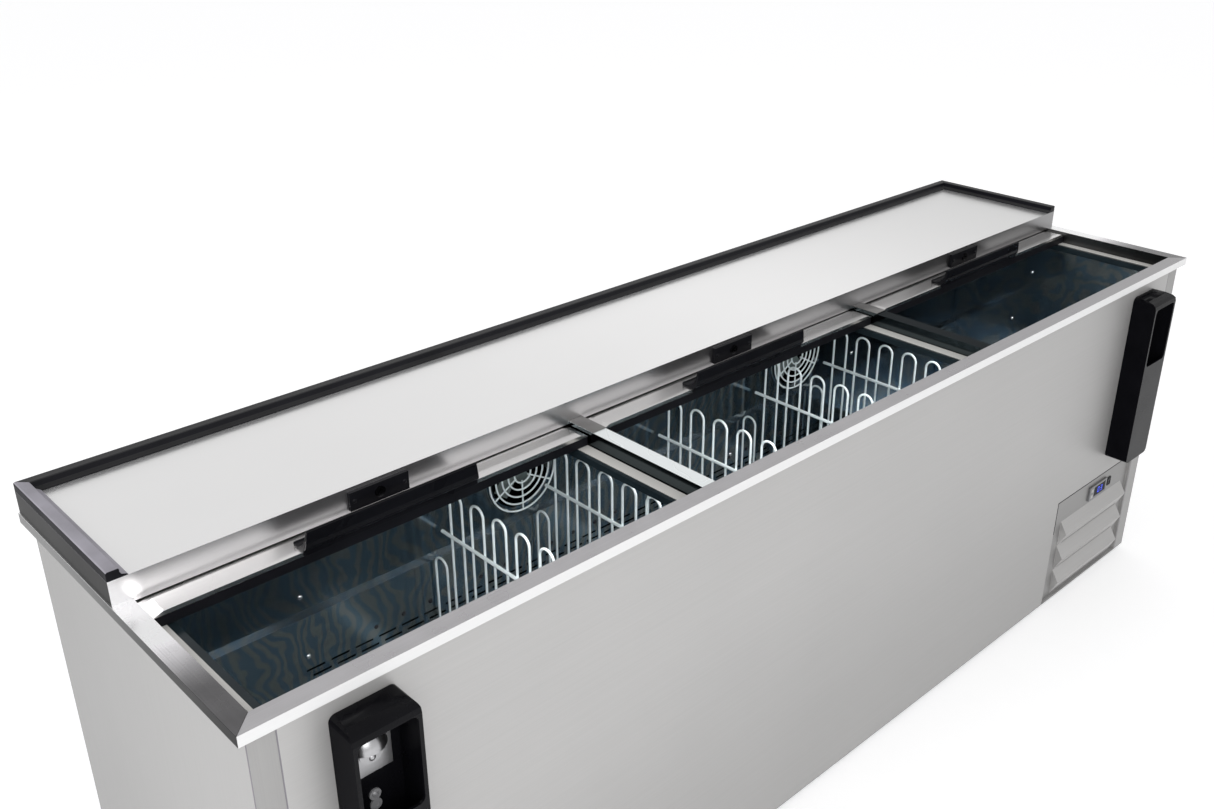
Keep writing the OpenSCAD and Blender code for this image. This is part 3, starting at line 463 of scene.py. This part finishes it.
def deck_face(face):
    """Tells the worktop's top, front, ends and the rounded edge along its front apart, so that the ends can
    get painted shade and the rounded edge a painted bright line.
    """
    if abs(face.normal.x) > 0.6:
        return 2
    if face.normal.y < -0.3 and 0.2 < face.normal.z < 0.96:
        return 3
    return upright(face)


def trim_face(face, left, back):
    """Tells the back bar's top, the side bar's top, its outer side and the rest apart, so that the tops can
    get a painted sheen.
    """
    if face.normal.x < -0.8:
        return 3
    if upright(face):
        return 1
    return 2 if face.center.x - left < back - face.center.y and face.center.x < 0 else 0


def only(obj):
    bpy.ops.object.select_all(action="DESELECT")
    obj.select_set(True)
    bpy.context.view_layer.objects.active = obj


def settle(obj, body, finish):
    """Puts the object's place into its mesh and lets it ride on its body."""
    only(obj)
    bpy.ops.object.transform_apply(location=True, rotation=True, scale=True)
    dress(obj, finish)
    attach(obj, body)


def rounded_copy(node, finish, radius, segments=2, angle=30):
    """A copy of a CAD piece with its edges rounded, which then stands for it."""
    source = NODES[node]
    copy = source.copy()
    copy.data = source.data.copy()
    copy.name = node + "_finished"
    for key in list(copy.keys()):
        if key.startswith("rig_"):
            del copy[key]
    copy.parent = None
    bpy.context.scene.collection.objects.link(copy)
    only(copy)
    bpy.ops.object.mode_set(mode="EDIT")
    bpy.ops.mesh.select_all(action="SELECT")
    bpy.ops.mesh.remove_doubles(threshold=0.00001)
    bpy.ops.mesh.dissolve_limited(angle_limit=math.radians(0.5))
    bpy.ops.object.mode_set(mode="OBJECT")
    bpy.ops.object.shade_smooth_by_angle(angle=math.radians(35))
    bevel = copy.modifiers.new("edges", "BEVEL")
    bevel.width = radius
    bevel.segments = segments
    bevel.limit_method = "ANGLE"
    bevel.angle_limit = math.radians(angle)
    bevel.use_clamp_overlap = True
    bevel.harden_normals = True
    bpy.ops.object.modifier_apply(modifier=bevel.name)
    dress(copy, finish)
    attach(copy, BODY_OF[node])
    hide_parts(node)
    return copy


def rounded_block(name, low, high, radius, segments=2):
    """A block between two corners, with every edge rounded in edit mode."""
    low, high = Vector(low), Vector(high)
    bpy.ops.object.select_all(action="DESELECT")
    bpy.ops.mesh.primitive_cube_add(size=1, location=(low + high) / 2, scale=high - low)
    block = bpy.context.object
    block.name = name
    bpy.ops.object.transform_apply(location=True, rotation=True, scale=True)
    bpy.ops.object.mode_set(mode="EDIT")
    bpy.ops.mesh.select_all(action="SELECT")
    bpy.ops.mesh.bevel(offset=radius, segments=segments, affect="EDGES")
    bpy.ops.object.mode_set(mode="OBJECT")
    bpy.ops.object.shade_smooth_by_angle(angle=math.radians(40))
    return block


def domed_head(name, radius, height):
    """A round head that faces -Y: a sphere cut to a cap and flattened."""
    bpy.ops.object.select_all(action="DESELECT")
    bpy.ops.mesh.primitive_uv_sphere_add(segments=20, ring_count=12, radius=radius,
                                         rotation=(math.radians(90), 0, 0))
    head = bpy.context.object
    head.name = name
    bpy.ops.object.transform_apply(location=True, rotation=True, scale=True)
    bpy.ops.object.mode_set(mode="EDIT")
    bpy.ops.mesh.select_all(action="SELECT")
    bpy.ops.mesh.bisect(plane_co=(0, 0, 0), plane_no=(0, 1, 0), clear_outer=True, use_fill=True)
    bpy.ops.mesh.select_all(action="SELECT")
    bpy.ops.transform.resize(value=(1, height / radius, 1), center_override=(0, 0, 0))
    bpy.ops.mesh.normals_make_consistent(inside=False)
    bpy.ops.object.mode_set(mode="OBJECT")
    bpy.ops.object.shade_smooth_by_angle(angle=math.radians(40))
    return head


def repeated(obj, places):
    """The object copied to each place, each copy with its own mesh, then joined."""
    copies = []
    for place in places[1:]:
        copy = obj.copy()
        copy.data = obj.data.copy()
        copy.location = place
        bpy.context.scene.collection.objects.link(copy)
        copies.append(copy)
    obj.location = places[0]
    only(obj)
    for copy in copies:
        copy.select_set(True)
    bpy.ops.object.join()
    return obj


def figure(number, left, bottom, face, width, height):
    """The lit bars of one seven-bar figure, as a list of blocks."""
    bar = 0.0016
    right, top, middle = left + width, bottom + height, bottom + height / 2
    spots = {
        "top": (left, right, top - bar, top), "middle": (left, right, middle - bar / 2, middle + bar / 2),
        "bottom": (left, right, bottom, bottom + bar),
        "upper left": (left, left + bar, middle, top), "upper right": (right - bar, right, middle, top),
        "lower left": (left, left + bar, bottom, middle), "lower right": (right - bar, right, bottom, middle),
    }
    lit = {0: set(spots) - {"middle"}, 3: set(spots) - {"upper left", "lower left"},
           5: set(spots) - {"upper right", "lower left"}}[number]
    return [rounded_block(f"figure_{name}", (a, face - 0.0004, c), (b, face, d), 0.0002, 1)
            for name, (a, b, c, d) in sorted(spots.items()) if name in lit]


def finish_nodes(finish, *nodes):
    for node in nodes:
        dress(NODES[node], finish)


# ---------- Operators ----------

class COOLER_OT_shell(bpy.types.Operator):
    """Finishes the cabinet's sheet metal and its inner structure"""
    bl_idname = "cooler.shell"
    bl_label = "Cabinet shell"

    def execute(self, context):
        edges = context.scene.cooler_edges
        rounded_copy("front_panel", "front steel", edges.sheet_edge)
        rounded_copy("corner_posts", "post steel", edges.sheet_edge)
        panel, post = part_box("front_panel"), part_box("corner_posts")
        for side, mirror in (("left", 1), ("right", -1)):
            spots = (("seam", panel[0].x - 0.0018, panel[0].x, 0.0003),
                     ("corner", post[0].x - 0.0008, post[0].x + 0.0006, -0.0002))
            for kind, start, stop, depth in spots:
                ends = sorted((mirror * start, mirror * stop))
                seal = rounded_block(f"{kind}_seal_{side}", (ends[0], panel[0].y + depth, post[0].z),
                                     (ends[1], panel[0].y + depth + 0.0008, panel[1].z), 0.0001, 1)
                settle(seal, "cabinet", "sealant")
        rounded_copy("side_panel_left", "end steel", edges.sheet_edge)
        rounded_copy("side_panel_right", "end steel", edges.sheet_edge)
        finish_nodes("zinc sheet", "back_panel", "bottom_panel", "base_frame")
        finish_nodes("foam core", "foam_core")
        finish_nodes("soft black rubber", "levelling_glides")
        return {"FINISHED"}


class COOLER_OT_rim(bpy.types.Operator):
    """Finishes the rim, the cross rails and the lid tracks"""
    bl_idname = "cooler.rim"
    bl_label = "Rim and tracks"

    def execute(self, context):
        edges = context.scene.cooler_edges
        # The rim's tops and fascias get lit and shaded copies of one steel: painted light and shade.
        for node in ("rim_front", "rim_back"):
            bar = rounded_copy(node, "rim top along", edges.fold_edge)
            dress_by_face(bar, upright, "rim top along", "fascia along")
        sides = rounded_copy("rim_sides", "rim top across", edges.fold_edge)
        dress_by_face(sides, upright, "rim top across", "fascia across")
        rails = rounded_copy("mullions", "rail top painted bright", edges.fold_edge)
        # Painted reflections: the left rail's top bright, the right rail's top dark, the upright sides dark.
        dress_by_face(rails, lambda face: 2 * upright(face) or int(face.center.x > 0),
                      "rail top painted bright", "rail top painted dark", "rail side painted dark")
        low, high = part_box("mullions")
        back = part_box("rear_deck")[0].y - 0.0001
        width, length, thick = 0.029, 0.062, 0.0018
        for number, left in enumerate((low.x, high.x - width), 1):
            cap = rounded_block(f"rail_cap_{number}", (left, back - length, high.z),
                                (left + width, back, high.z + thick), 0.0008)
            settle(cap, "cabinet", "cap steel")
        finish_nodes("track moulding", "track_profiles")
        rounded_copy("glide_strips", "glide nylon", edges.sheet_edge)
        return {"FINISHED"}


class COOLER_OT_worktop(bpy.types.Operator):
    """Finishes the raised worktop, its trim and the locks"""
    bl_idname = "cooler.worktop"
    bl_label = "Worktop and locks"

    def execute(self, context):
        edges = context.scene.cooler_edges
        deck = rounded_copy("rear_deck", "worktop steel", edges.sheet_edge)
        # Painted light and shade: near-black ends, and a bright line painted along the front edge with a
        # shinier finish.
        dress_by_face(deck, deck_face, "worktop steel", "worktop fascia", "worktop end",
                      "bright plating")
        finish_nodes("zinc sheet", "deck_underside")
        trim = rounded_copy("deck_trim", "black moulding", edges.sheet_edge)
        low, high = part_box("deck_trim")
        only(trim)
        bpy.ops.object.mode_set(mode="EDIT")
        bpy.ops.mesh.select_all(action="SELECT")
        bpy.ops.mesh.bisect(plane_co=(low.x, high.y, 0), plane_no=(1, 1, 0))
        bpy.ops.object.mode_set(mode="OBJECT")
        # Painted sheen on the trim's tops, lightest on the side bar.
        dress_by_face(trim, lambda face: trim_face(face, low.x, high.y),
                      "trim top", "black moulding", "trim end top", "trim side")
        rounded_copy("lock_plates", "black moulding", edges.moulded_edge)
        for lid in LIDS:
            finish_nodes("dark plating", f"lock_cylinder_{lid}")
        return {"FINISHED"}


class COOLER_OT_lids(bpy.types.Operator):
    """Finishes the three lids and their handles"""
    bl_idname = "cooler.lids"
    bl_label = "Lids"

    def execute(self, context):
        edges = context.scene.cooler_edges
        for lid in LIDS:
            rounded_copy(f"lid_top_{lid}", "lid steel", edges.sheet_edge)
            rounded_copy(f"lid_frame_{lid}", "black moulding", edges.sheet_edge)
            rounded_copy(f"lid_handle_{lid}", "black handle", 0.0004)
        return {"FINISHED"}


class COOLER_OT_well(bpy.types.Operator):
    """Finishes the well's lining, evaporator, dividers and racks"""
    bl_idname = "cooler.well"
    bl_label = "Well"

    def execute(self, context):
        finish_nodes("well lining", "liner_front", "liner_back", "liner_left", "liner_right",
                     "liner_floor", "liner_step", "evaporator_cover")
        finish_nodes("coated wire", "dividers_left", "dividers_centre", "floor_racks", "fan_guards")
        finish_nodes("fin aluminium", "evaporator_coil")
        finish_nodes("fan plastic", "fan_motors", "evaporator_fan_1", "evaporator_fan_2")
        finish_nodes("bright plating", "fixings")

        # The rivets run in one level row along the cover's lower sheet
        rivet_count, first, step, lower_sheet, drop = 24, -0.681, 0.061, 0.036, 0.388
        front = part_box("evaporator_cover")[0].y + lower_sheet
        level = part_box("liner_left")[1].z - drop
        head = domed_head("cover_rivets", 0.0045, 0.0022)
        rivets = repeated(head, [(first + i * step, front, level) for i in range(rivet_count)])
        settle(rivets, "cabinet", "soft black rubber")
        return {"FINISHED"}


class COOLER_OT_controls(bpy.types.Operator):
    """Finishes the grille, the temperature controller and the switch"""
    bl_idname = "cooler.controls"
    bl_label = "Grille and controls"

    def execute(self, context):
        edges = context.scene.cooler_edges
        grille = rounded_copy("front_grille", "grille steel", edges.sheet_edge)
        # Painted light and shade: the sloped louvre faces lighter than the flat plate.
        dress_by_face(grille, lambda face: int(abs(face.normal.y) < 0.995),
                      "grille steel", "louvre steel")
        rounded_copy("thermostat", "control grey", edges.moulded_edge)
        finish_nodes("key grey", "set_button", "defrost_button")
        rounded_copy("switch_frame", "black moulding", edges.sheet_edge)
        rounded_copy("power_switch", "black handle", edges.sheet_edge)

        # A black strip on the front sheet along its edge cut away over the grille: a painted shadow line.
        panel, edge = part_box("front_panel"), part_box("front_grille")
        front, top, shadow_line_width = panel[0].y - 0.0004, edge[1].z + 0.004, 0.0018
        upper = rounded_block("bay_shadow_line_top", (edge[0].x - 0.005, front, top - shadow_line_width),
                              (edge[1].x - 0.012, front + 0.002, top), 0.0003)
        settle(upper, "cabinet", "trim side")
        side = rounded_block("bay_shadow_line_side", (edge[0].x - 0.005, front, top - 0.085),
                             (edge[0].x - 0.005 + shadow_line_width, front + 0.002, top), 0.0003)
        settle(side, "cabinet", "trim side")

        low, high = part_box("thermostat")
        face, middle = low.y + 0.001, (low.z + high.z) / 2
        left, right = low.x + 0.022, high.x - 0.006
        lens = rounded_block("display_lens", (left + 0.0006, face - 0.0004, middle - 0.0124),
                             (right - 0.0006, face + 0.0002, middle + 0.0124), 0.0002, 1)
        settle(lens, "cabinet", "display lens")
        bars = []
        for number, start in ((0, left + 0.018), (3, left + 0.032)):
            bars += figure(number, start, middle - 0.0075, face - 0.0004, 0.0085, 0.015)
        only(bars[0])
        for bar in bars[1:]:
            bar.select_set(True)
        bpy.ops.object.join()
        bars[0].name = "lit_figures"
        settle(bars[0], "cabinet", "lit figures")
        return {"FINISHED"}


class COOLER_OT_openers(bpy.types.Operator):
    """Finishes the bottle openers and their housings"""
    bl_idname = "cooler.openers"
    bl_label = "Bottle openers"

    def execute(self, context):
        edges = context.scene.cooler_edges
        for side in ("left", "right"):
            housing = rounded_copy(f"opener_housing_{side}", "opener black", edges.housing_edge,
                                   segments=3)
            dress_by_face(housing, lambda face: int(abs(face.normal.x) > 0.8),
                          "opener black", "opener side")
        hooks = NODES["opener_hooks"]
        plate_height = 0.072
        below_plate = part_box("opener_hooks")[1].z - plate_height
        dress_by_face(hooks, lambda face: int((hooks.matrix_world @ face.center).z < below_plate),
                      "cast hook metal", "eye metal")
        return {"FINISHED"}


class COOLER_OT_machine_bay(bpy.types.Operator):
    """Finishes the compressor, condenser and fan"""
    bl_idname = "cooler.machine_bay"
    bl_label = "Machine bay"

    def execute(self, context):
        finish_nodes("zinc sheet", "unit_tray")
        finish_nodes("compressor paint", "compressor")
        finish_nodes("fin aluminium", "condenser")
        finish_nodes("fan plastic", "condenser_fan")
        return {"FINISHED"}


class COOLER_OT_studio(bpy.types.Operator):
    """Lays the floor, sets the lights and places the camera"""
    bl_idname = "cooler.studio"
    bl_label = "Studio"

    def execute(self, context):
        studio = context.scene.cooler_studio
        camera = bpy.data.objects.new("camera", bpy.data.cameras.new("camera"))
        context.scene.collection.objects.link(camera)
        camera.location = (-1.6431, -1.4147, 1.7401)
        azimuth, elevation = math.radians(-43.38), math.radians(25.32)
        back = Vector((math.sin(azimuth) * math.cos(elevation),
                       -math.cos(azimuth) * math.cos(elevation), math.sin(elevation)))
        camera.rotation_mode = "QUATERNION"
        camera.rotation_quaternion = (-back).to_track_quat("-Z", "Y")
        camera.data.sensor_width = 36.0
        camera.data.lens = 36.47
        camera.data.shift_x = -0.0147
        camera.data.shift_y = -0.0064
        camera.data.clip_end = 200.0
        context.scene.camera = camera
        context.scene.view_settings.view_transform = "Standard"

        bpy.ops.object.select_all(action="DESELECT")
        bpy.ops.mesh.primitive_plane_add(size=studio.floor_size)
        floor = context.object
        floor.name = "studio_floor"
        material = bpy.data.materials.new("studio floor")
        material.use_nodes = True
        tree = material.node_tree
        shader = tree.nodes["Principled BSDF"]
        shader.inputs["Base Color"].default_value = (0.93, 0.93, 0.93, 1)
        shader.inputs["Roughness"].default_value = 0.9
        shader.inputs["Specular IOR Level"].default_value = 0.0
        shader.inputs["Emission Color"].default_value = (1, 1, 1, 1)
        shader.inputs["Emission Strength"].default_value = 0.3
        floor.data.materials.append(material)

        world = bpy.data.worlds.new("studio")
        world.use_nodes = True
        context.scene.world = world
        sky = world.node_tree.nodes["Background"]
        tree = world.node_tree
        place = add_node(tree, "ShaderNodeTexCoord")
        parts = add_node(tree, "ShaderNodeSeparateXYZ")
        tree.links.new(place.outputs["Generated"], parts.inputs[0])
        ramp = add_node(tree, "ShaderNodeValToRGB")
        ramp.color_ramp.elements[0].position = 0.0
        ramp.color_ramp.elements[0].color = (1, 1, 1, 1)
        ramp.color_ramp.elements[1].position = 1.0
        ramp.color_ramp.elements[1].color = (0.6, 0.6, 0.61, 1)
        tree.links.new(parts.outputs["Z"], ramp.inputs[0])
        tree.links.new(ramp.outputs[0], sky.inputs["Color"])
        sky.inputs["Strength"].default_value = studio.sky

        for name, place, size, power in (
                ("key light", (-2.5, -4.0, 3.2), 3.0, studio.key_power),
                ("left light", (-5.0, 0.5, 2.5), 2.5, studio.key_power * 0.5)):
            data = bpy.data.lights.new(name, "AREA")
            data.size = size
            data.energy = power
            lamp = bpy.data.objects.new(name, data)
            lamp.location = place
            lamp.rotation_mode = "QUATERNION"
            lamp.rotation_quaternion = (Vector((0, 0, 0.5)) - Vector(place)).to_track_quat("-Z", "Y")
            context.scene.collection.objects.link(lamp)

        # One soft light hangs just under each lid's opening, to show the well.
        for lid in LIDS:
            low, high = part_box(f"lid_frame_{lid}")
            data = bpy.data.lights.new(f"well light {lid}", "AREA")
            data.shape = "RECTANGLE"
            data.size, data.size_y = 0.64, 0.2
            data.energy = studio.well_power
            lamp = bpy.data.objects.new(data.name, data)
            lamp.location = ((low.x + high.x) / 2, -0.145, low.z - 0.02)
            context.scene.collection.objects.link(lamp)
        return {"FINISHED"}


class COOLER_PT_panel(bpy.types.Panel):
    """Lists the cooler's pieces and their settings"""
    bl_idname = "COOLER_PT_panel"
    bl_label = "Chest cooler"
    bl_space_type = "VIEW_3D"
    bl_region_type = "UI"
    bl_category = "Chest cooler"

    def draw(self, context):
        layout = self.layout
        for group in (context.scene.cooler_edges, context.scene.cooler_colours,
                      context.scene.cooler_studio):
            box = layout.box()
            for name in group.bl_rna.properties.keys():
                if name not in ("rna_type", "name"):
                    box.prop(group, name)
        for kind in STEPS:
            layout.operator(kind.bl_idname)


STEPS = (COOLER_OT_shell, COOLER_OT_rim, COOLER_OT_worktop, COOLER_OT_lids, COOLER_OT_well,
         COOLER_OT_controls, COOLER_OT_openers, COOLER_OT_machine_bay, COOLER_OT_studio)
GROUPS = (CoolerEdges, CoolerColours, CoolerStudio)


def register():
    for kind in GROUPS + STEPS + (COOLER_PT_panel,):
        bpy.utils.register_class(kind)
    bpy.types.Scene.cooler_edges = bpy.props.PointerProperty(type=CoolerEdges)
    bpy.types.Scene.cooler_colours = bpy.props.PointerProperty(type=CoolerColours)
    bpy.types.Scene.cooler_studio = bpy.props.PointerProperty(type=CoolerStudio)


def unregister():
    for kind in (COOLER_PT_panel,) + STEPS[::-1] + GROUPS[::-1]:
        bpy.utils.unregister_class(kind)
    del bpy.types.Scene.cooler_edges
    del bpy.types.Scene.cooler_colours
    del bpy.types.Scene.cooler_studio


def main():
    register()
    for name in ("Cube", "Light", "Camera"):
        if name in bpy.data.objects:
            bpy.data.objects.remove(bpy.data.objects[name])
    make_finishes(bpy.context.scene.cooler_colours)
    bpy.ops.cooler.shell()
    bpy.ops.cooler.rim()
    bpy.ops.cooler.worktop()
    bpy.ops.cooler.lids()
    bpy.ops.cooler.well()
    bpy.ops.cooler.controls()
    bpy.ops.cooler.openers()
    bpy.ops.cooler.machine_bay()
    bpy.ops.cooler.studio()


if __name__ == "__main__":
    main()
